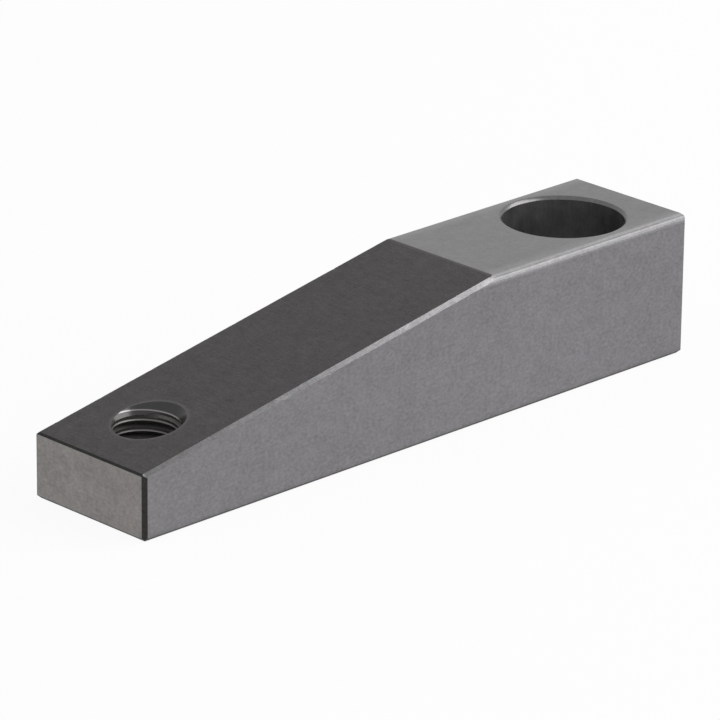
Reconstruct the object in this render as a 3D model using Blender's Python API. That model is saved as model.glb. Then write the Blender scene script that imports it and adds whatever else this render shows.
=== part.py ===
"""Strap clamp: one tapered bar of steel, bored through its thick end and tapped through its nose.

Metres, +Z up. The base lies on Z = 0, the nose points to -X, and the origin is the middle of the base's
outline. The bar is made as on a milling machine: sawn blank, slope, broken edges, bore, tapped hole.
"""

from math import atan2, ceil, cos, pi, radians, sin, tan

import bmesh
import bpy
from mathutils import Matrix, Vector

# Bar
LENGTH = 0.120
WIDTH = 0.025
HEIGHT = 0.0245
NOSE_HEIGHT = 0.011
SEAT_LENGTH = 0.0445  # the flat top at the thick end, from the rear face to the crest of the slope

# Broken edges: the width of each break, measured on either face beside it
SEAT_BREAK = 0.00085
SLOPE_BREAK = 0.00065
NOSE_BREAK = 0.0003
REAR_BREAK = 0.0005
BASE_BREAK = 0.0006
NEAR_NOSE_BREAK = 0.00065
FAR_NOSE_BREAK = 0.0003
REAR_CORNER_BREAK = 0.00015

# The seat's long edges are broken in two facets, which meet at the knee
SEAT_BREAK_DEPTH = 0.0011  # how far the lower facet comes down the side
KNEE_INSET = 0.0004
KNEE_DEPTH = 0.00025

# Plain bore, which a stud or a clamping cylinder's rod passes through
BORE_DIAMETER = 0.020
BORE_FROM_REAR = 0.016
BORE_CHAMFER = 0.0005

# Tapped hole, which holds the pressure screw
THREAD_DIAMETER = 0.012
THREAD_PITCH = 0.00175
THREAD_FROM_NOSE = 0.0117
THREAD_ANGLE = radians(60)
THREAD_DEPTH_SHARE = 0.486  # groove depth, as a share of the pitch
ROOT_FLAT_SHARE = 0.125  # flat at the bottom of the groove, as a share of the pitch
THREAD_PHASE_SHARE = 0.633  # height of the groove above the base on the +X side, as a share of the pitch
RUN_OUT_DEPTH = 0.00123  # from the slope down to the end of the last groove, on the hole's axis
RUN_OUT_SHARE = 0.22  # how much of a turn the last groove takes to fade out

# Countersinks of the tapped hole: the width is what they add around the drilled wall
MOUTH_WIDTH = 0.00062  # where the hole's axis meets the slope
MOUTH_ANGLE = radians(60)
BASE_SINK_WIDTH = 0.0011
BASE_SINK_ANGLE = radians(90)

# Cutters
OVERRUN = 0.001
MERGE_DISTANCE = 0.000001
TURNED_SIDES = 72
THREAD_SIDES = 36

# Finishes: colour, metallic and roughness
BLASTED_STEEL = ((0.215, 0.213, 0.222, 1), 0.85, 0.55)
MILLED_STEEL = ((0.085, 0.085, 0.086, 1), 0.85, 0.45)
GROUND_STEEL = ((0.26, 0.26, 0.262, 1), 0.90, 0.38)
SMOOTH_ANGLE = radians(25)
SAME_FACE_ANGLE = radians(1)

NOSE_X = -LENGTH / 2
REAR_X = LENGTH / 2
SLOPE_RUN = LENGTH - SEAT_LENGTH
SLOPE_ANGLE = atan2(HEIGHT - NOSE_HEIGHT, SLOPE_RUN)
BORE_X = REAR_X - BORE_FROM_REAR
THREAD_X = NOSE_X + THREAD_FROM_NOSE
THREAD_DEPTH = THREAD_DEPTH_SHARE * THREAD_PITCH
DRILL_RADIUS = THREAD_DIAMETER / 2 - THREAD_DEPTH

# Outward normals of the bar's flat faces
UP = Vector((0, 0, 1))
DOWN = -UP
FORWARD = Vector((-1, 0, 0))
BACKWARD = -FORWARD
SIDEWAYS = Vector((0, 1, 0))
SLOPE_NORMAL = Vector((-sin(SLOPE_ANGLE), 0, cos(SLOPE_ANGLE)))

# Each face as its normal and its distance from the origin along that normal
FACES = {
    "base": (DOWN, 0),
    "seat": (UP, HEIGHT),
    "nose": (FORWARD, -NOSE_X),
    "rear": (BACKWARD, REAR_X),
    "near": (-SIDEWAYS, WIDTH / 2),
    "far": (SIDEWAYS, WIDTH / 2),
    "slope": (SLOPE_NORMAL, SLOPE_NORMAL.dot(Vector((NOSE_X, 0, NOSE_HEIGHT)))),
}


def clear_scene():
    for item in list(bpy.data.objects):
        bpy.data.objects.remove(item, do_unlink=True)


def slope_height(x):
    return NOSE_HEIGHT + (x - NOSE_X) * tan(SLOPE_ANGLE)


def add_object(name, bm):
    """Turn a finished bmesh into an object of that name."""
    bmesh.ops.recalc_face_normals(bm, faces=bm.faces)
    mesh = bpy.data.meshes.new(name)
    bm.to_mesh(mesh)
    bm.free()
    item = bpy.data.objects.new(name, mesh)
    bpy.context.scene.collection.objects.link(item)
    return item


def slice_off(bm, normal, distance):
    """Mill away everything past a plane and close the bar with the flat that the cut leaves."""
    cut = bmesh.ops.bisect_plane(
        bm,
        geom=bm.verts[:] + bm.edges[:] + bm.faces[:],
        plane_co=normal * distance,
        plane_no=normal,
        clear_outer=True,
    )
    outline = [part for part in cut["geom_cut"] if isinstance(part, bmesh.types.BMEdge)]
    bmesh.ops.contextual_create(bm, geom=outline)


def break_edge(bm, first, second, width):
    """Take the edge between two faces off by the same width on both."""
    first_normal, first_distance = FACES[first]
    second_normal, second_distance = FACES[second]
    both = first_normal + second_normal
    normal = both.normalized()
    depth = width * sin(first_normal.angle(normal))
    slice_off(bm, normal, (first_distance + second_distance) / both.length - depth)


def shape_edge(bm, first, second, profile):
    """Give the edge between two square faces a profile of facets: (inset along the first, depth below it)."""
    first_normal, first_distance = FACES[first]
    second_normal, second_distance = FACES[second]
    for (inset, depth), (next_inset, next_depth) in zip(profile, profile[1:]):
        along_first = inset - next_inset
        along_second = next_depth - depth
        facing = first_normal * along_first + second_normal * along_second
        distance = (first_distance - depth) * along_first + (second_distance - inset) * along_second
        slice_off(bm, facing.normalized(), distance / facing.length)


def tapered_bar():
    """The bar with its slope and its broken edges, before any hole."""
    bm = bmesh.new()
    bmesh.ops.create_cube(bm, size=1)
    bmesh.ops.scale(bm, vec=(LENGTH, WIDTH, HEIGHT), verts=bm.verts)
    bmesh.ops.translate(bm, vec=UP * (HEIGHT / 2), verts=bm.verts)
    slice_off(bm, *FACES["slope"])
    break_edge(bm, "seat", "rear", REAR_BREAK)
    break_edge(bm, "slope", "nose", NOSE_BREAK)
    break_edge(bm, "base", "nose", BASE_BREAK)
    break_edge(bm, "base", "rear", BASE_BREAK)
    for side in ("near", "far"):
        shape_edge(bm, "seat", side, [(SEAT_BREAK, 0), (KNEE_INSET, KNEE_DEPTH), (0, SEAT_BREAK_DEPTH)])
        break_edge(bm, "slope", side, SLOPE_BREAK)
        break_edge(bm, "base", side, BASE_BREAK)
        break_edge(bm, "rear", side, REAR_CORNER_BREAK)
    break_edge(bm, "nose", "near", NEAR_NOSE_BREAK)
    break_edge(bm, "nose", "far", FAR_NOSE_BREAK)
    return add_object("strap_clamp", bm)


def turned_cutter(name, x, outline):
    """A cutter turned about a vertical axis at x. The outline is (radius, height), from axis to axis.

    It starts half a side round, so that none of its edges meets an edge of the thread.
    """
    bm = bmesh.new()
    points = [bm.verts.new((radius, 0, height)) for radius, height in outline]
    edges = [bm.edges.new(pair) for pair in zip(points, points[1:])]
    bmesh.ops.spin(bm, geom=points + edges, axis=UP, angle=2 * pi, steps=TURNED_SIDES, use_merge=True)
    bmesh.ops.remove_doubles(bm, verts=bm.verts, dist=MERGE_DISTANCE)
    bmesh.ops.rotate(bm, verts=bm.verts, matrix=Matrix.Rotation(pi / TURNED_SIDES, 3, UP))
    bmesh.ops.translate(bm, vec=BACKWARD * x, verts=bm.verts)
    return add_object(name, bm)


def bore_cutter():
    """The plain bore with the same small chamfer at both ends, run out past both faces."""
    wall = BORE_DIAMETER / 2
    mouth = wall + BORE_CHAMFER + OVERRUN
    outline = [
        (0, HEIGHT + OVERRUN),
        (mouth, HEIGHT + OVERRUN),
        (wall, HEIGHT - BORE_CHAMFER),
        (wall, BORE_CHAMFER),
        (mouth, -OVERRUN),
        (0, -OVERRUN),
    ]
    return turned_cutter("bore_cutter", BORE_X, outline)


def mouth_cutter():
    """The upper countersink. It stands upright in the slope, so it opens in an oval that is wider uphill."""
    rate = tan(MOUTH_ANGLE / 2)
    tip = slope_height(THREAD_X) - (DRILL_RADIUS + MOUTH_WIDTH) / rate
    top = HEIGHT + OVERRUN
    return turned_cutter("mouth_cutter", THREAD_X, [(0, top), ((top - tip) * rate, top), (0, tip)])


def base_sink_cutter():
    rate = tan(BASE_SINK_ANGLE / 2)
    tip = (DRILL_RADIUS + BASE_SINK_WIDTH) / rate
    outline = [(0, tip), ((tip + OVERRUN) * rate, -OVERRUN), (0, -OVERRUN)]
    return turned_cutter("base_sink_cutter", THREAD_X, outline)


def thread_cutter():
    """The tapped core: one pitch of the thread's profile, screwed from below the base to above the slope.

    Past its run-out the groove has no depth, and the core goes on as the plain drilled wall.
    """
    flank = THREAD_DEPTH * tan(THREAD_ANGLE / 2)
    root_flat = ROOT_FLAT_SHARE * THREAD_PITCH
    profile = [
        (0, 0),
        (THREAD_DEPTH, flank),
        (THREAD_DEPTH, flank + root_flat),
        (0, 2 * flank + root_flat),
        (0, THREAD_PITCH),
    ]
    start = (THREAD_PHASE_SHARE - 2) * THREAD_PITCH
    top = slope_height(THREAD_X + THREAD_DIAMETER) + THREAD_PITCH
    last_turn = (slope_height(THREAD_X) - RUN_OUT_DEPTH - start) / THREAD_PITCH
    bm = bmesh.new()
    rows = []
    for step in range(ceil((top - start) / THREAD_PITCH) * THREAD_SIDES + 1):
        turn = step / THREAD_SIDES
        fade = max(0, min(1, (last_turn - turn) / RUN_OUT_SHARE))
        turned = Matrix.Rotation(2 * pi * turn, 3, UP)
        rise = start + turn * THREAD_PITCH
        row = [Vector((DRILL_RADIUS + fade * depth, 0, rise + height)) for depth, height in profile]
        rows.append([bm.verts.new(turned @ point) for point in row])
    for row, next_row in zip(rows, rows[1:]):
        for low, high, next_low, next_high in zip(row, row[1:], next_row, next_row[1:]):
            bm.faces.new((low, next_low, next_high, high))
    bmesh.ops.remove_doubles(bm, verts=bm.verts, dist=MERGE_DISTANCE)
    ends = bmesh.ops.holes_fill(bm, edges=[edge for edge in bm.edges if edge.is_boundary])
    bmesh.ops.poke(bm, faces=ends["faces"])
    bmesh.ops.triangulate(bm, faces=bm.faces)
    bmesh.ops.translate(bm, vec=BACKWARD * THREAD_X, verts=bm.verts)
    return add_object("thread_cutter", bm)


def cut_away(bar, cutters):
    """Subtract each cutter in turn, keep the result as the bar's own mesh and drop the cutters."""
    for cutter in cutters:
        cutter.hide_render = True
        cutter.display_type = "WIRE"
        cut = bar.modifiers.new(cutter.name, "BOOLEAN")
        cut.operation = "DIFFERENCE"
        cut.solver = "EXACT"
        cut.object = cutter
    result = bar.evaluated_get(bpy.context.evaluated_depsgraph_get())
    mesh = bpy.data.meshes.new_from_object(result)
    mesh.name = bar.name
    bar.modifiers.clear()
    bar.data = mesh
    for cutter in cutters:
        bpy.data.objects.remove(cutter, do_unlink=True)


def steel(name, colour, metallic, roughness):
    material = bpy.data.materials.new(name)
    material.use_nodes = True
    shader = material.node_tree.nodes["Principled BSDF"]
    shader.inputs["Base Color"].default_value = colour
    shader.inputs["Metallic"].default_value = metallic
    shader.inputs["Roughness"].default_value = roughness
    material.diffuse_color = colour
    return material


def finish(bar):
    """Blasted all over, with a darker milled slope and a ground seat, and smooth round the holes."""
    mesh = bar.data
    mesh.materials.clear()
    mesh.materials.append(steel("blasted_steel", *BLASTED_STEEL))
    mesh.materials.append(steel("milled_steel", *MILLED_STEEL))
    mesh.materials.append(steel("ground_steel", *GROUND_STEEL))
    for face in mesh.polygons:
        if face.normal.angle(SLOPE_NORMAL) < SAME_FACE_ANGLE:
            face.material_index = 1
        elif face.normal.angle(UP) < SAME_FACE_ANGLE:
            face.material_index = 2
        else:
            face.material_index = 0
    mesh.shade_smooth()
    mesh.set_sharp_from_angle(angle=SMOOTH_ANGLE)


def main():
    clear_scene()
    bar = tapered_bar()
    cut_away(bar, [bore_cutter(), thread_cutter(), mouth_cutter(), base_sink_cutter()])
    finish(bar)


main()
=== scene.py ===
"""Looks of the strap clamp: its bar in a finer mesh, with worn edges and a lipped thread.

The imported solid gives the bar's length, width and height, and the finer bar stands in its place.
"""

from math import atan2, ceil, cos, floor, pi, radians, sin, tan
from random import Random

import bmesh
import bpy
from mathutils import Matrix, Vector, noise


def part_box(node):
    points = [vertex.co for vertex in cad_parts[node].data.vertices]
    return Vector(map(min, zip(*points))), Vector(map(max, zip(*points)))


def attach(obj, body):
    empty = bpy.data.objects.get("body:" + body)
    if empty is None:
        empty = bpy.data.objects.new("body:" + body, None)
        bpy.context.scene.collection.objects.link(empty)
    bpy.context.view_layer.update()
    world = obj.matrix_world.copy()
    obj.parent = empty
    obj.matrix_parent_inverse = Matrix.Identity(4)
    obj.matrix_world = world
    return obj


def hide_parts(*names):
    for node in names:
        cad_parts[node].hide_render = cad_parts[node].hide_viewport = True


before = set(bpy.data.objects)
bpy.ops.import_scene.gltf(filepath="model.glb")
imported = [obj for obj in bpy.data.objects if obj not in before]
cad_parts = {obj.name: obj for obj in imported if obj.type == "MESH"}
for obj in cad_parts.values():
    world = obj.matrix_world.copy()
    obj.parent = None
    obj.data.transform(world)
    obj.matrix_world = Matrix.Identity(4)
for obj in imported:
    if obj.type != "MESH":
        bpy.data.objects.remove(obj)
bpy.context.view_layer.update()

# Bar
LOW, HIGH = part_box("strap_clamp")
NOSE_X = LOW.x
REAR_X = HIGH.x
BASE_Z = LOW.z
SEAT_Z = HIGH.z
HALF_WIDTH = HIGH.y
NOSE_HEIGHT = 0.011
SEAT_LENGTH = 0.0445

# Broken edges: the width of each break, measured on either face beside it
SLOPE_BREAK = 0.00065
SLOPE_BREAK_TAPER = 0.00018  # how much less of the side it takes at the nose
NOSE_BREAK = 0.0003
REAR_BREAK = 0.0005
BASE_BREAK = 0.0006
NEAR_NOSE_BREAK = 0.00065
FAR_NOSE_BREAK = 0.0003
REAR_CORNER_BREAK = 0.00015

# Profile of the seat's long edges: distance in from the side face, and depth below the seat
SEAT_EDGE = (
    (0.00085, 0),
    (0.00042, 0.00020),
    (0.00029, 0.00044),
    (0.00010, 0.00088),
    (0.00003, 0.00110),
    (0, 0.00140),
)
# Each facet of that profile gets its own shade of steel, set to paint the light across the edge: a
# painted highlight on the bevel, a painted dark line on the facet below it, and lighter and darker
# copies further down.
SEAT_EDGE_FINISHES = ("seat_bevel_painted_highlight", "seam_painted_shade", "seat_edge", "low_edge", "low_edge")

# Holes
BORE_RADIUS = 0.010
BORE_FROM_REAR = 0.016
BORE_CHAMFER = 0.0005
BORE_SOFTENING = BORE_CHAMFER / 5  # size of the narrow facets beside the chamfer
THREAD_RADIUS = 0.006
THREAD_PITCH = 0.00175
THREAD_FROM_NOSE = 0.0117
THREAD_ANGLE = radians(60)
THREAD_DEPTH_SHARE = 0.486
ROOT_FLAT_SHARE = 0.125
THREAD_PHASE_SHARE = 0.633
RUN_OUT_DEPTH = 0.00123
RUN_OUT_SHARE = 0.22
LIP_HEIGHT = 0.00022
LIP_LEAN = 0.00012
MOUTH_WIDTH = 0.00062
MOUTH_ANGLE = radians(60)
BASE_SINK_WIDTH = 0.0011
BASE_SINK_ANGLE = radians(90)
RIM_ROUNDING = 0.0001

# Fineness of the mesh, and how near counts as the same
BORE_SIDES = 192
MOUTH_SIDES = 160
THREAD_SIDES = 112
OVERRUN = 0.001
MERGE_DISTANCE = 0.0000005
UPRIGHT_ANGLE = radians(12)
SHARP_ANGLE = radians(28)
SAME_WAY = 0.5  # the least dot product of two unit normals that face the same way

# Wear along the long edges
STATION_STEP = 0.0006
WAVE_LENGTH = 0.0035
WAVE_HEIGHT = 0.000022
NICK_LENGTH = 0.0005
NICK_DEPTH = (0.00003, 0.00008)
NICKS_PER_EDGE = 7
CALM_LENGTH = 0.0015
CALM_SHARE = 0.5  # how much of that length, next to an end, has no wear at all
EDGE_REACH = 0.0017
SIDE_LANE = 0.3  # where in the noise the border on the side face is read
TOP_LANE = 0.7  # and the border on the top face
WEAR_SEED = 5

THREAD_DEPTH = THREAD_DEPTH_SHARE * THREAD_PITCH
DRILL_RADIUS = THREAD_RADIUS - THREAD_DEPTH
FLANK_RATE = tan(THREAD_ANGLE / 2)
FLANK_HEIGHT = THREAD_DEPTH * FLANK_RATE
ROOT_FLAT = ROOT_FLAT_SHARE * THREAD_PITCH
GROOVE_HEIGHT = 2 * FLANK_HEIGHT + ROOT_FLAT
THREAD_START = BASE_Z + (THREAD_PHASE_SHARE - 2) * THREAD_PITCH
CREST_X = REAR_X - SEAT_LENGTH
SLOPE_ANGLE = atan2(SEAT_Z - BASE_Z - NOSE_HEIGHT, CREST_X - NOSE_X)
BORE_X = REAR_X - BORE_FROM_REAR
THREAD_X = NOSE_X + THREAD_FROM_NOSE

UP = Vector((0, 0, 1))
BACKWARD = Vector((1, 0, 0))
SIDEWAYS = Vector((0, 1, 0))
SLOPE_NORMAL = Vector((-sin(SLOPE_ANGLE), 0, cos(SLOPE_ANGLE)))

# Each face as its outward normal and its distance from the origin along that normal
FACES = {
    "base": (-UP, -BASE_Z),
    "seat": (UP, SEAT_Z),
    "nose": (-BACKWARD, -NOSE_X),
    "rear": (BACKWARD, REAR_X),
    "near": (-SIDEWAYS, HALF_WIDTH),
    "far": (SIDEWAYS, HALF_WIDTH),
    "slope": (SLOPE_NORMAL, SLOPE_NORMAL.dot(Vector((NOSE_X, 0, BASE_Z + NOSE_HEIGHT)))),
}


def slope_height(x):
    return BASE_Z + NOSE_HEIGHT + (x - NOSE_X) * tan(SLOPE_ANGLE)


LAST_TURN = (slope_height(THREAD_X) - RUN_OUT_DEPTH - THREAD_START) / THREAD_PITCH
MOUTH_RATE = tan(MOUTH_ANGLE / 2)
MOUTH_TIP = slope_height(THREAD_X) - (DRILL_RADIUS + MOUTH_WIDTH) / MOUTH_RATE


def give(faces, finish):
    for face in faces:
        face.material_index = FINISHES.index(finish)


def add_object(name, bm):
    bmesh.ops.recalc_face_normals(bm, faces=bm.faces)
    mesh = bpy.data.meshes.new(name)
    bm.to_mesh(mesh)
    bm.free()
    item = bpy.data.objects.new(name, mesh)
    bpy.context.scene.collection.objects.link(item)
    return item


# Machining the bar
def slice_off(bm, normal, distance, finish):
    """Mill away everything past a plane and close the bar with the flat that the cut leaves."""
    cut = bmesh.ops.bisect_plane(
        bm,
        geom=bm.verts[:] + bm.edges[:] + bm.faces[:],
        plane_co=normal * distance,
        plane_no=normal,
        clear_outer=True,
    )
    outline = [part for part in cut["geom_cut"] if isinstance(part, bmesh.types.BMEdge)]
    give(bmesh.ops.contextual_create(bm, geom=outline)["faces"], finish)


def break_edge(bm, first, second, width, finish):
    """Take the edge between two faces off by the same width on both."""
    first_normal, first_distance = FACES[first]
    second_normal, second_distance = FACES[second]
    both = first_normal + second_normal
    normal = both.normalized()
    depth = width * sin(first_normal.angle(normal))
    slice_off(bm, normal, (first_distance + second_distance) / both.length - depth, finish)


def shape_edge(bm, first, second, profile, finishes):
    """Give the edge between two square faces a profile of several facets."""
    first_normal, first_distance = FACES[first]
    second_normal, second_distance = FACES[second]
    for (inset, depth), (next_inset, next_depth), finish in zip(profile, profile[1:], finishes):
        along_first = inset - next_inset
        along_second = next_depth - depth
        facing = first_normal * along_first + second_normal * along_second
        distance = (first_distance - depth) * along_first + (second_distance - inset) * along_second
        slice_off(bm, facing.normalized(), distance / facing.length, finish)


def machined_bar():
    """The bar with its slope and its broken edges, before any hole."""
    bm = bmesh.new()
    bmesh.ops.create_cube(bm, size=1)
    bmesh.ops.scale(bm, vec=HIGH - LOW, verts=bm.verts)
    bmesh.ops.translate(bm, vec=(HIGH + LOW) / 2, verts=bm.verts)
    bm.normal_update()
    give([face for face in bm.faces if face.normal.dot(UP) > SAME_WAY], "ground")
    ends = [face for face in bm.faces if abs(face.normal.dot(BACKWARD)) > SAME_WAY]
    give(ends, "sawn")
    slice_off(bm, *FACES["slope"], "milled")
    break_edge(bm, "seat", "rear", REAR_BREAK, "seat_edge")
    break_edge(bm, "slope", "nose", NOSE_BREAK, "painted_dark_edge")
    break_edge(bm, "base", "nose", BASE_BREAK, "foot_edge_painted_shade")
    break_edge(bm, "base", "rear", BASE_BREAK, "foot_edge_painted_shade")
    for side in ("near", "far"):
        shape_edge(bm, "seat", side, SEAT_EDGE, SEAT_EDGE_FINISHES)
        break_edge(bm, "slope", side, SLOPE_BREAK, "slope_edge")
        break_edge(bm, "base", side, BASE_BREAK, "foot_edge_painted_shade")
        break_edge(bm, "rear", side, REAR_CORNER_BREAK, "painted_dark_edge")
    break_edge(bm, "nose", "near", NEAR_NOSE_BREAK, "painted_dark_edge")
    break_edge(bm, "nose", "far", FAR_NOSE_BREAK, "painted_dark_edge")
    return bm


# Wear
def add_stations(bm):
    """Slice the bar across at even steps, so that its long edges can bend a little."""
    count = ceil((REAR_X - NOSE_X) / STATION_STEP)
    for index in range(1, count):
        bmesh.ops.bisect_plane(
            bm,
            geom=bm.verts[:] + bm.edges[:] + bm.faces[:],
            plane_co=BACKWARD * (NOSE_X + index * STATION_STEP),
            plane_no=BACKWARD,
        )


def wear_share(x):
    """0 at the bar's ends and at the crest of the slope, rising to 1 a short way from them."""
    nearest = min(abs(x - place) for place in (NOSE_X, CREST_X, REAR_X))
    share = max(0, min(1, nearest / CALM_LENGTH - CALM_SHARE))
    return share * share * (3 - 2 * share)


def nicks_of(random):
    return [
        (random.uniform(NOSE_X, REAR_X), random.uniform(*NICK_DEPTH))
        for _ in range(NICKS_PER_EDGE)
    ]


def wear_at(x, lane, nicks):
    """How far a long edge has moved at x: a slow wave, and a dent at each nick."""
    wave = WAVE_HEIGHT * noise.noise(Vector((x / WAVE_LENGTH, lane, 0)))
    dent = sum(depth * max(0, 1 - abs(x - place) / NICK_LENGTH) for place, depth in nicks)
    return wear_share(x) * (wave + dent)


def wear_edges(bm):
    """Move the borders of the upper chamfers within the flat faces beside them, which stay flat."""
    random = Random(WEAR_SEED)
    for lane, (side, top) in enumerate(
        (side, top) for side in ("near", "far") for top in ("slope", "seat")
    ):
        side_normal, side_distance = FACES[side]
        top_normal, top_distance = FACES[top]
        low_nicks = nicks_of(random)
        high_nicks = nicks_of(random)
        for vertex in bm.verts:
            point = vertex.co
            on_side = abs(side_normal.dot(point) - side_distance) < MERGE_DISTANCE
            on_top = abs(top_normal.dot(point) - top_distance) < MERGE_DISTANCE
            under_top = top_distance - top_normal.dot(point)
            if on_side and under_top < EDGE_REACH:
                taper = SLOPE_BREAK_TAPER * max(0, CREST_X - point.x) / (CREST_X - NOSE_X)
                vertex.co -= UP * (wear_at(point.x, lane + SIDE_LANE, low_nicks) - taper)
            elif on_top and side_distance - side_normal.dot(point) < EDGE_REACH:
                vertex.co -= side_normal * wear_at(point.x, lane + TOP_LANE, high_nicks)


# Holes
def turned_cutter(name, x, outline, sides, slanted, upright):
    """A cutter turned about a vertical axis at x.

    The outline is (radius, height), from the axis out and back to it.
    """
    bm = bmesh.new()
    points = [bm.verts.new((radius, 0, height)) for radius, height in outline]
    edges = [bm.edges.new(pair) for pair in zip(points, points[1:])]
    bmesh.ops.spin(bm, geom=points + edges, axis=UP, angle=2 * pi, steps=sides, use_merge=True)
    bmesh.ops.remove_doubles(bm, verts=bm.verts, dist=MERGE_DISTANCE)
    bmesh.ops.rotate(bm, verts=bm.verts, matrix=Matrix.Rotation(pi / sides, 3, UP))
    bmesh.ops.translate(bm, vec=BACKWARD * x, verts=bm.verts)
    bm.normal_update()
    give(bm.faces, slanted)
    give([face for face in bm.faces if abs(face.normal.z) < sin(UPRIGHT_ANGLE)], upright)
    return add_object(name, bm)


def bore_cutter():
    """The plain bore. Each rim is a small chamfer with a narrow facet on either side of it."""
    soft = BORE_SOFTENING
    wide = BORE_RADIUS + BORE_CHAMFER
    rim = [
        (wide + soft + OVERRUN * 2, -OVERRUN),
        (wide - soft / 2, soft / 2),
        (BORE_RADIUS + soft / 2, BORE_CHAMFER - soft / 2),
        (BORE_RADIUS, BORE_CHAMFER + soft),
    ]
    top = [(radius, SEAT_Z - depth) for radius, depth in rim]
    bottom = [(radius, BASE_Z + depth) for radius, depth in reversed(rim)]
    outline = [(0, SEAT_Z + OVERRUN)] + top + bottom + [(0, BASE_Z - OVERRUN)]
    return turned_cutter("bore_cutter", BORE_X, outline, BORE_SIDES, "bore_rim", "bored")


def mouth_cutter():
    """The upper countersink. It stands upright in the slope, so it opens in an oval."""
    top = SEAT_Z + OVERRUN
    outline = [(0, top), ((top - MOUTH_TIP) * MOUTH_RATE, top), (0, MOUTH_TIP)]
    return turned_cutter("mouth_cutter", THREAD_X, outline, MOUTH_SIDES, "sink", "sink")


def base_sink_cutter():
    rate = tan(BASE_SINK_ANGLE / 2)
    tip = BASE_Z + (DRILL_RADIUS + BASE_SINK_WIDTH) / rate
    foot = BASE_Z - OVERRUN
    outline = [(0, tip), ((tip - foot) * rate, foot), (0, foot)]
    return turned_cutter("base_sink_cutter", THREAD_X, outline, MOUTH_SIDES, "sink", "sink")


def thread_cutter():
    """The tapped core: one pitch of profile, screwed from below the base to above the slope.

    The crest between two grooves leans back above a low lip. Past its run-out a groove has no
    depth.
    """
    lean_height = LIP_LEAN * FLANK_RATE
    profile = [
        (LIP_LEAN, 0, lean_height),
        (LIP_LEAN, THREAD_DEPTH - LIP_LEAN, FLANK_HEIGHT),
        (LIP_LEAN, THREAD_DEPTH - LIP_LEAN, FLANK_HEIGHT + ROOT_FLAT),
        (0, 0, GROOVE_HEIGHT),
        (LIP_LEAN, 0, GROOVE_HEIGHT + LIP_HEIGHT),
        (LIP_LEAN, 0, THREAD_PITCH + lean_height),
    ]
    top = slope_height(THREAD_X + 2 * THREAD_RADIUS) + THREAD_PITCH
    bm = bmesh.new()
    rows = []
    for step in range(ceil((top - THREAD_START) / THREAD_PITCH) * THREAD_SIDES + 1):
        turn = step / THREAD_SIDES
        depth_share = max(0, min(1, (LAST_TURN - turn) / RUN_OUT_SHARE))
        turned = Matrix.Rotation(2 * pi * turn, 3, UP)
        rise = THREAD_START + turn * THREAD_PITCH
        row = [
            Vector((DRILL_RADIUS + lean + depth_share * depth, 0, rise + height))
            for lean, depth, height in profile
        ]
        rows.append([bm.verts.new(turned @ point) for point in row])
    for row, next_row in zip(rows, rows[1:]):
        for low, high, next_low, next_high in zip(row, row[1:], next_row, next_row[1:]):
            bm.faces.new((low, next_low, next_high, high))
    bmesh.ops.remove_doubles(bm, verts=bm.verts, dist=MERGE_DISTANCE)
    ends = bmesh.ops.holes_fill(bm, edges=[edge for edge in bm.edges if edge.is_boundary])
    bmesh.ops.poke(bm, faces=ends["faces"])
    bmesh.ops.triangulate(bm, faces=bm.faces)
    give(bm.faces, "thread")
    bmesh.ops.translate(bm, vec=BACKWARD * THREAD_X, verts=bm.verts)
    return add_object("thread_cutter", bm)


def cut_away(bar, cutters):
    """Subtract each cutter in turn, keep the result as the bar's own mesh and drop the cutters.

    A cut surface keeps the slot that its cutter had.
    """
    steels = [MAKERS[finish]() for finish in FINISHES]
    for item in [bar, *cutters]:
        for material in steels:
            item.data.materials.append(material)
    for cutter in cutters:
        cut = bar.modifiers.new(cutter.name, "BOOLEAN")
        cut.operation = "DIFFERENCE"
        cut.solver = "EXACT"
        cut.object = cutter
    result = bar.evaluated_get(bpy.context.evaluated_depsgraph_get())
    mesh = bpy.data.meshes.new_from_object(result)
    mesh.name = bar.name
    bar.modifiers.clear()
    bar.data = mesh
    for cutter in cutters:
        bpy.data.objects.remove(cutter, do_unlink=True)


def round_mouth(bar):
    """Round the rim of the upper countersink a little."""
    bm = bmesh.new()
    bm.from_mesh(bar.data)
    either_side = {FINISHES.index("milled"), FINISHES.index("sink")}
    rim = [
        edge
        for edge in bm.edges
        if {face.material_index for face in edge.link_faces} == either_side
    ]
    bmesh.ops.bevel(
        bm,
        geom=rim,
        offset=RIM_ROUNDING,
        offset_type="OFFSET",
        segments=2,
        profile=0.5,
        affect="EDGES",
        material=FINISHES.index("sink_rim"),
        clamp_overlap=True,
    )
    bm.to_mesh(bar.data)
    bm.free()


# Materials
MOUTH_HIGHLIGHT_WIDTH = 0.0006  # of the painted highlight, a faint light ring on the slope round the countersink
MOUTH_HIGHLIGHT_PATCH = 0.9
MOUTH_HIGHLIGHT_UNEVENNESS = MOUTH_HIGHLIGHT_WIDTH / 5
LIP_HIGHLIGHT_SPAN = (-0.2, 0.1, 0.7, 1.25)  # the painted highlight on each lip, in lip heights: where it starts, is full, fades and ends
LAST_WHOLE_TURN = floor(LAST_TURN)

# Places in millimetres where painted shade (the foot line) and painted highlights (the crest band
# and the seat border) on a face are none and full
FOOT_SHADE_LINE = (1.3, 0.6)
CREST_HIGHLIGHT_BAND = (14.6, 15.6)
SEAT_BORDER_HIGHLIGHT = (9.5, 11.8)

MILLIMETRE = 0.001
ROUGHNESS_TONE = 0.05
ROUGHNESS_PATCH = 2.5
NOISE_DETAIL = 2.0
NOISE_ROUGHNESS = 0.55
NOISE_LOW = 0.25
NOISE_HIGH = 0.75


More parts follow.
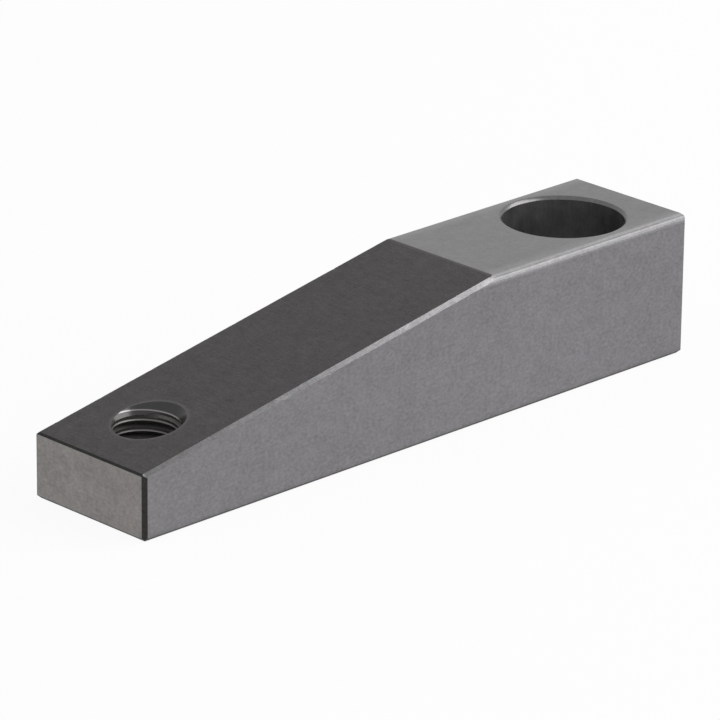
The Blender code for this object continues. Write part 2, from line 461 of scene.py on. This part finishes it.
def node(tree, kind, links=(), **settings):
    """Add one shader node. Settings are its own properties, links feed or fill its sockets."""
    made = tree.nodes.new(kind)
    for name, value in settings.items():
        setattr(made, name, value)
    for name, value in dict(links).items():
        socket = made.inputs[name]
        if isinstance(value, bpy.types.NodeSocket):
            tree.links.new(value, socket)
        else:
            socket.default_value = value
    return made


def millimetres(tree, stretch=(1, 1, 1)):
    """The place on the bar in millimetres, divided by stretch along each axis."""
    place = node(tree, "ShaderNodeTexCoord").outputs["Object"]
    factors = tuple(1 / MILLIMETRE / size for size in stretch)
    return node(
        tree, "ShaderNodeVectorMath", {0: place, 1: factors}, operation="MULTIPLY"
    ).outputs["Vector"]


def cloud(tree, size, stretch=(1, 1, 1)):
    """Noise of the given size in millimetres, as a number mostly from -1 to 1."""
    lump = node(
        tree,
        "ShaderNodeTexNoise",
        {
            "Vector": millimetres(tree, stretch),
            "Scale": 1 / size,
            "Detail": NOISE_DETAIL,
            "Roughness": NOISE_ROUGHNESS,
        },
    ).outputs["Fac"]
    return node(
        tree,
        "ShaderNodeMapRange",
        {"Value": lump, "From Min": NOISE_LOW, "From Max": NOISE_HIGH, "To Min": -1.0},
        clamp=False,
    ).outputs["Result"]


def combine(tree, operation, first, second):
    return node(tree, "ShaderNodeMath", {0: first, 1: second}, operation=operation).outputs[0]


def weighted(tree, parts):
    """The sum of several numbers, each times its weight."""
    total = 0.0
    for value, weight in parts:
        total = combine(tree, "ADD", combine(tree, "MULTIPLY", value, weight), total)
    return total


def steel(name, colour, roughness, tones, relief, grazing=1.0):
    """Bare steel. tones are (noise, share of the colour), relief is (noise, height in millimetres).

    Under 1, grazing dims what is seen at a flat angle.
    """
    material = bpy.data.materials.new(name)
    material.use_nodes = True
    tree = material.node_tree
    shader = tree.nodes["Principled BSDF"]
    tone = combine(tree, "ADD", weighted(tree, tones(tree)), 1.0)
    tinted = node(
        tree, "ShaderNodeVectorMath", {0: colour, "Scale": tone}, operation="SCALE"
    ).outputs["Vector"]
    tree.links.new(tinted, shader.inputs["Base Color"])
    polish = combine(tree, "MULTIPLY", cloud(tree, ROUGHNESS_PATCH), ROUGHNESS_TONE)
    tree.links.new(combine(tree, "ADD", polish, roughness), shader.inputs["Roughness"])
    shader.inputs["Metallic"].default_value = 1.0
    shader.inputs["Specular Tint"].default_value = (grazing, grazing, grazing, 1)
    bump = node(
        tree,
        "ShaderNodeBump",
        {"Height": weighted(tree, relief(tree)), "Distance": MILLIMETRE, "Strength": 1.0},
    )
    tree.links.new(bump.outputs["Normal"], shader.inputs["Normal"])
    material.diffuse_color = (*colour, 1)
    return material


def round_tapped_hole(tree):
    """The angle, radius and height of each place, as seen from the tapped hole's axis."""
    place = node(tree, "ShaderNodeTexCoord").outputs["Object"]
    axes = node(tree, "ShaderNodeSeparateXYZ", {0: place}).outputs
    along = combine(tree, "SUBTRACT", axes["X"], THREAD_X)
    angle = combine(tree, "ARCTAN2", axes["Y"], along)
    square = weighted(
        tree,
        [
            (combine(tree, "MULTIPLY", along, along), 1.0),
            (combine(tree, "MULTIPLY", axes["Y"], axes["Y"]), 1.0),
        ],
    )
    return angle, combine(tree, "SQRT", square, 0.0), axes["Z"]


def fade(tree, value, none, full):
    """0 where a value is at none or past it, 1 where it is at full, and smooth between."""
    return node(
        tree,
        "ShaderNodeMapRange",
        {"Value": value, "From Min": none, "From Max": full},
        interpolation_type="SMOOTHSTEP",
    ).outputs["Result"]


def above_groove(tree):
    """How far each place in the thread lies above the first groove, along the groove's slant."""
    angle, radius, height = round_tapped_hole(tree)
    unwound = weighted(
        tree,
        [
            (height, 1.0),
            (combine(tree, "SUBTRACT", radius, DRILL_RADIUS), FLANK_RATE),
            (angle, -THREAD_PITCH / (2 * pi)),
        ],
    )
    return combine(tree, "SUBTRACT", unwound, THREAD_START + GROOVE_HEIGHT)


def painted_lip_highlight(tree, turn=None):
    """1 on the lip above each groove of the thread, where a highlight is painted, and 0 off the
    lips.

    With a turn, only the lip of that turn counts.
    """
    start, low, high, end = (share * LIP_HEIGHT for share in LIP_HIGHLIGHT_SPAN)
    above = above_groove(tree)
    if turn is None:
        above = combine(tree, "FLOORED_MODULO", above, THREAD_PITCH)
        return fade(tree, above, end, high)
    above = combine(tree, "SUBTRACT", above, turn * THREAD_PITCH)
    return combine(tree, "MULTIPLY", fade(tree, above, start, low), fade(tree, above, end, high))


def painted_mouth_highlight(tree):
    """1 on a narrow uneven ring on the slope round the countersink, where a highlight is painted,
    and 0 off it.
    """
    radius, height = round_tapped_hole(tree)[1:]
    outside = weighted(
        tree,
        [
            (radius, 1.0),
            (combine(tree, "SUBTRACT", height, MOUTH_TIP), -MOUTH_RATE),
            (cloud(tree, MOUTH_HIGHLIGHT_PATCH), MOUTH_HIGHLIGHT_UNEVENNESS),
        ],
    )
    return fade(tree, outside, MOUTH_HIGHLIGHT_WIDTH, MOUTH_HIGHLIGHT_WIDTH / 2)


def rise_along(tree, axis, start, end):
    """0 before the start along an axis and 1 past the end, both in millimetres.

    With the start above the end it counts downwards.
    """
    place = node(tree, "ShaderNodeSeparateXYZ", {0: millimetres(tree)}).outputs[axis]
    return fade(tree, place, start, end)


def off_middle(tree, near, far):
    """0 up to a distance from the middle of the bar's width and 1 past another, in millimetres."""
    place = node(tree, "ShaderNodeSeparateXYZ", {0: millimetres(tree)}).outputs["Y"]
    return node(
        tree,
        "ShaderNodeMapRange",
        {"Value": combine(tree, "ABSOLUTE", place, 0.0), "From Min": near, "From Max": far},
    ).outputs["Result"]


def blasted():
    return steel(
        "blasted_steel",
        (0.2125, 0.2057, 0.2167),
        0.5,
        lambda tree: [
            (cloud(tree, 0.5, (1.4, 1, 1)), 0.175),
            (cloud(tree, 2.0), 0.07),
            (cloud(tree, 14), 0.05),
            # painted shade: the side faces darken towards the base, where they meet the floor
            (rise_along(tree, "Z", *FOOT_SHADE_LINE), -0.12),
        ],
        lambda tree: [(cloud(tree, 0.3), 0.004)],
    )


# The slope's steel is coloured about a third as light as the seat's: painted shade standing for the
# dark reflection the slope shows; the streaky milling marks are its own.
def milled():
    return steel(
        "milled_steel",
        (0.0755, 0.0707, 0.0728),
        0.45,
        lambda tree: [
            (cloud(tree, 0.35), 0.24),
            (cloud(tree, 0.6, (0.5, 4, 1)), 0.13),
            (cloud(tree, 2.0), 0.07),
            (cloud(tree, 9), 0.05),
            # painted highlight: the slope lightens over its last millimetre towards the crest
            (rise_along(tree, "X", *CREST_HIGHLIGHT_BAND), 0.5),
            # painted highlight: a faint light ring on the slope round the countersink
            (painted_mouth_highlight(tree), 0.35),
        ],
        lambda tree: [(cloud(tree, 0.4, (0.5, 5, 1)), 0.002)],
    )


def ground():
    return steel(
        "ground_steel",
        (0.237, 0.2345, 0.2365),
        0.4,
        lambda tree: [
            (cloud(tree, 0.38), 0.12),
            (cloud(tree, 0.25, (12, 1, 1)), 0.04),
            (cloud(tree, 3.0), 0.02),
            # painted highlight: the seat lightens towards its long edges
            (off_middle(tree, *SEAT_BORDER_HIGHLIGHT), 0.3),
        ],
        lambda tree: [(cloud(tree, 0.2, (14, 1, 1)), 0.0012)],
    )


def sawn():
    return steel(
        "sawn_steel",
        (0.230, 0.218, 0.2125),
        0.48,
        lambda tree: [
            (cloud(tree, 0.5, (1, 1.4, 1)), 0.165),
            (cloud(tree, 0.5, (1, 1, 6)), 0.03),
            (cloud(tree, 1.8), 0.1),
            (cloud(tree, 7), 0.05),
        ],
        lambda tree: [(cloud(tree, 0.35), 0.004)],
    )


def slope_edge():
    return steel(
        "slope_edge_steel",
        (0.18, 0.1767, 0.1813),
        0.3,
        lambda tree: [(cloud(tree, 0.5), 0.15), (cloud(tree, 3.0), 0.06)],
        lambda tree: [(cloud(tree, 0.4, (3, 1, 1)), 0.003)],
    )


# About twice as light as the seat: painted highlight on the bevel along the seat's edge.
def seat_bevel_painted_highlight():
    return steel(
        "seat_bevel_painted_highlight_steel",
        (0.44, 0.434, 0.442),
        0.35,
        lambda tree: [(cloud(tree, 0.5), 0.1), (cloud(tree, 4.0, (3, 1, 1)), 0.08)],
        lambda tree: [(cloud(tree, 0.4, (3, 1, 1)), 0.002)],
    )


def seat_edge():
    return steel(
        "seat_edge_steel",
        (0.176, 0.173, 0.177),
        0.3,
        lambda tree: [(cloud(tree, 0.5), 0.1), (cloud(tree, 4.0), 0.06)],
        lambda tree: [(cloud(tree, 0.4, (3, 1, 1)), 0.002)],
    )


# Dark steel on the facet below the bevel: a painted dark line along the seat's edge.
def seam_painted_shade():
    return steel(
        "seam_painted_shade_steel",
        (0.108, 0.106, 0.108),
        0.35,
        lambda tree: [(cloud(tree, 0.5), 0.1), (cloud(tree, 2.0, (3, 1, 1)), 0.2)],
        lambda tree: [(cloud(tree, 0.4, (3, 1, 1)), 0.002)],
    )


def low_edge():
    return steel(
        "low_edge_steel",
        (0.25, 0.245, 0.253),
        0.4,
        lambda tree: [(cloud(tree, 0.45), 0.12), (cloud(tree, 4.0), 0.06)],
        lambda tree: [(cloud(tree, 0.4, (3, 1, 1)), 0.003)],
    )


# Near-black steel on the breaks at the nose and the rear corners: painted shade for the dark
# reflection in these narrow facets.
def painted_dark_edge():
    return steel(
        "painted_dark_edge_steel",
        (0.037, 0.036, 0.035),
        0.4,
        lambda tree: [(cloud(tree, 0.4), 0.2), (cloud(tree, 2.0), 0.12)],
        lambda tree: [(cloud(tree, 0.4), 0.003)],
    )


# A darker copy of the side's steel on the breaks along the base, dimmed further at a flat angle:
# painted shade where they face the floor.
def foot_edge_painted_shade():
    return steel(
        "foot_edge_painted_shade_steel",
        (0.09, 0.087, 0.091),
        0.45,
        lambda tree: [(cloud(tree, 0.4), 0.15), (cloud(tree, 2.0), 0.1)],
        lambda tree: [(cloud(tree, 0.4), 0.003)],
        grazing=0.6,
    )


def bored():
    return steel(
        "bored_steel",
        (0.15, 0.147, 0.15),
        0.5,
        lambda tree: [(cloud(tree, 0.5, (1, 1, 12)), 0.1), (cloud(tree, 1.0), 0.1)],
        lambda tree: [(cloud(tree, 0.5, (1, 1, 4)), 0.004)],
    )


def bore_rim():
    return steel(
        "bore_rim_steel",
        (0.15, 0.147, 0.15),
        0.28,
        lambda tree: [(cloud(tree, 0.5), 0.12)],
        lambda tree: [(cloud(tree, 0.5), 0.002)],
    )


# Dark steel in both countersinks: painted shade, so the inside of the tapped hole's mouth stays
# dark away from the key light.
def sink():
    return steel(
        "sink_steel",
        (0.062, 0.0608, 0.06),
        0.24,
        # painted highlight, four times as light, on the lip of the last whole turn
        lambda tree: [(painted_lip_highlight(tree, LAST_WHOLE_TURN), 3.0), (cloud(tree, 0.5), 0.08)],
        lambda tree: [(cloud(tree, 0.3), 0.002)],
    )


def sink_rim():
    return steel(
        "sink_rim_steel",
        (0.2, 0.196, 0.195),
        0.35,
        lambda tree: [(cloud(tree, 0.6), 0.2), (cloud(tree, 0.25), 0.15)],
        lambda tree: [(cloud(tree, 0.3), 0.003)],
    )


def thread():
    return steel(
        "thread_steel",
        (0.12, 0.1165, 0.113),
        0.5,
        # painted highlight on every lip of the thread
        lambda tree: [(painted_lip_highlight(tree), 0.8), (cloud(tree, 0.4), 0.1)],
        lambda tree: [(cloud(tree, 0.3), 0.003)],
    )


# Each finish and what makes its steel, in the order of the bar's material slots
MAKERS = {
    "blasted": blasted,
    "milled": milled,
    "ground": ground,
    "sawn": sawn,
    "slope_edge": slope_edge,
    "seat_bevel_painted_highlight": seat_bevel_painted_highlight,
    "seat_edge": seat_edge,
    "seam_painted_shade": seam_painted_shade,
    "low_edge": low_edge,
    "painted_dark_edge": painted_dark_edge,
    "foot_edge_painted_shade": foot_edge_painted_shade,
    "bored": bored,
    "bore_rim": bore_rim,
    "sink": sink,
    "sink_rim": sink_rim,
    "thread": thread,
}
FINISHES = tuple(MAKERS)


def finish_bar(bar):
    mesh = bar.data
    mesh.shade_smooth()
    mesh.set_sharp_from_angle(angle=SHARP_ANGLE)
    weigh = bar.modifiers.new("even_normals", "WEIGHTED_NORMAL")
    weigh.mode = "FACE_AREA"
    weigh.keep_sharp = True


# Stage
FLOOR_RADIUS = 12.0
FLOOR_SIDES = 96
FLOOR_COLOUR = (0.86, 0.86, 0.86, 1)
FLOOR_GLOW_SHARE = 0.93
WORLD_LEVEL = 0.7

# Camera, fitted to the photo's outline: angles in radians, lens and sensor in millimetres
CAMERA_AZIMUTH = -0.777543
CAMERA_ELEVATION = 0.364328
CAMERA_ROLL = 0.011412
CAMERA_DISTANCE = 0.87278
CAMERA_AIM = (-0.00169, -0.0004772)
CAMERA_TARGET = Vector((0, 0, 0.01125))
CAMERA_LENS = 273.73217
CAMERA_CLIP = (0.01, 100)
SENSOR = 36

# Key light
KEY_DIRECTION = (0.856, 0.045, 0.515)  # to the right, away from the camera, and up
KEY_DISTANCE = 0.9
KEY_WIDTH = 0.96
KEY_HEIGHT = 0.69
KEY_LEVEL = 3.0  # its radiance, where the white background has 1


def add_camera():
    """The camera looks from the near side and the nose. Its aim is set off along its own axes."""
    level = Vector((cos(CAMERA_AZIMUTH), sin(CAMERA_AZIMUTH), 0))
    outward = Vector((sin(CAMERA_AZIMUTH), -cos(CAMERA_AZIMUTH), 0))
    back = outward * cos(CAMERA_ELEVATION) + UP * sin(CAMERA_ELEVATION)
    right = Matrix.Rotation(CAMERA_ROLL, 3, back) @ level
    up = back.cross(right)
    data = bpy.data.cameras.new("camera")
    data.lens = CAMERA_LENS
    data.sensor_width = SENSOR
    data.clip_start, data.clip_end = CAMERA_CLIP
    camera = bpy.data.objects.new("camera", data)
    bpy.context.scene.collection.objects.link(camera)
    aside = right * CAMERA_AIM[0] + up * CAMERA_AIM[1]
    place = Matrix.Translation(CAMERA_TARGET + aside + back * CAMERA_DISTANCE)
    camera.matrix_world = place @ Matrix((right, up, back)).transposed().to_4x4()
    bpy.context.scene.camera = camera
    return right, back


def seen_directly(tree):
    """1 for rays from the camera, a mirror or clear stuff, and 0 for light on matt stuff."""
    path = node(tree, "ShaderNodeLightPath").outputs
    reflected = combine(tree, "MAXIMUM", path["Is Glossy Ray"], path["Is Transmission Ray"])
    return combine(tree, "MAXIMUM", path["Is Camera Ray"], reflected)


def add_floor():
    bm = bmesh.new()
    bmesh.ops.create_circle(bm, cap_ends=True, segments=FLOOR_SIDES, radius=FLOOR_RADIUS)
    ground_plate = add_object("floor", bm)
    material = bpy.data.materials.new("floor")
    material.use_nodes = True
    tree = material.node_tree
    tree.nodes.clear()
    matt = node(tree, "ShaderNodeBsdfDiffuse", {"Color": FLOOR_COLOUR}).outputs[0]
    glow = node(tree, "ShaderNodeEmission", {"Strength": 1.0}).outputs[0]
    share = combine(tree, "MULTIPLY", seen_directly(tree), FLOOR_GLOW_SHARE)
    mixed = node(tree, "ShaderNodeMixShader", {0: share, 1: matt, 2: glow}).outputs[0]
    node(tree, "ShaderNodeOutputMaterial", {"Surface": mixed})
    ground_plate.data.materials.append(material)


def add_world():
    """White where the camera, a mirror or clear stuff sees it, and a little dimmer as light."""
    world = bpy.data.worlds.new("studio")
    world.use_nodes = True
    world.cycles.sampling_method = "NONE"
    tree = world.node_tree
    tree.nodes.clear()
    strength = node(
        tree,
        "ShaderNodeMapRange",
        {"Value": seen_directly(tree), "To Min": WORLD_LEVEL, "To Max": 1.0},
    ).outputs["Result"]
    background = node(tree, "ShaderNodeBackground", {"Strength": strength}).outputs[0]
    node(tree, "ShaderNodeOutputWorld", {"Surface": background})
    bpy.context.scene.world = world


def add_key(right, away):
    """A soft box that faces the bar."""
    data = bpy.data.lights.new("key", "AREA")
    data.shape = "RECTANGLE"
    data.size = KEY_WIDTH
    data.size_y = KEY_HEIGHT
    data.energy = KEY_LEVEL * pi * KEY_WIDTH * KEY_HEIGHT
    lamp = bpy.data.objects.new("key", data)
    bpy.context.scene.collection.objects.link(lamp)
    parts = zip((right, away, UP), KEY_DIRECTION)
    direction = sum((axis * share for axis, share in parts), Vector())
    lamp.rotation_mode = "QUATERNION"
    lamp.rotation_quaternion = direction.to_track_quat("Z", "Y")
    lamp.location = CAMERA_TARGET + direction.normalized() * KEY_DISTANCE


def main():
    bm = machined_bar()
    add_stations(bm)
    wear_edges(bm)
    bar = add_object("clamp_bar", bm)
    cut_away(bar, [bore_cutter(), thread_cutter(), mouth_cutter(), base_sink_cutter()])
    round_mouth(bar)
    finish_bar(bar)
    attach(bar, "root")
    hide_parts("strap_clamp")

    right, back = add_camera()
    away = Vector((-back.x, -back.y, 0)).normalized()
    add_floor()
    add_world()
    add_key(right, away)
    bpy.context.scene.view_settings.view_transform = "Standard"


main()
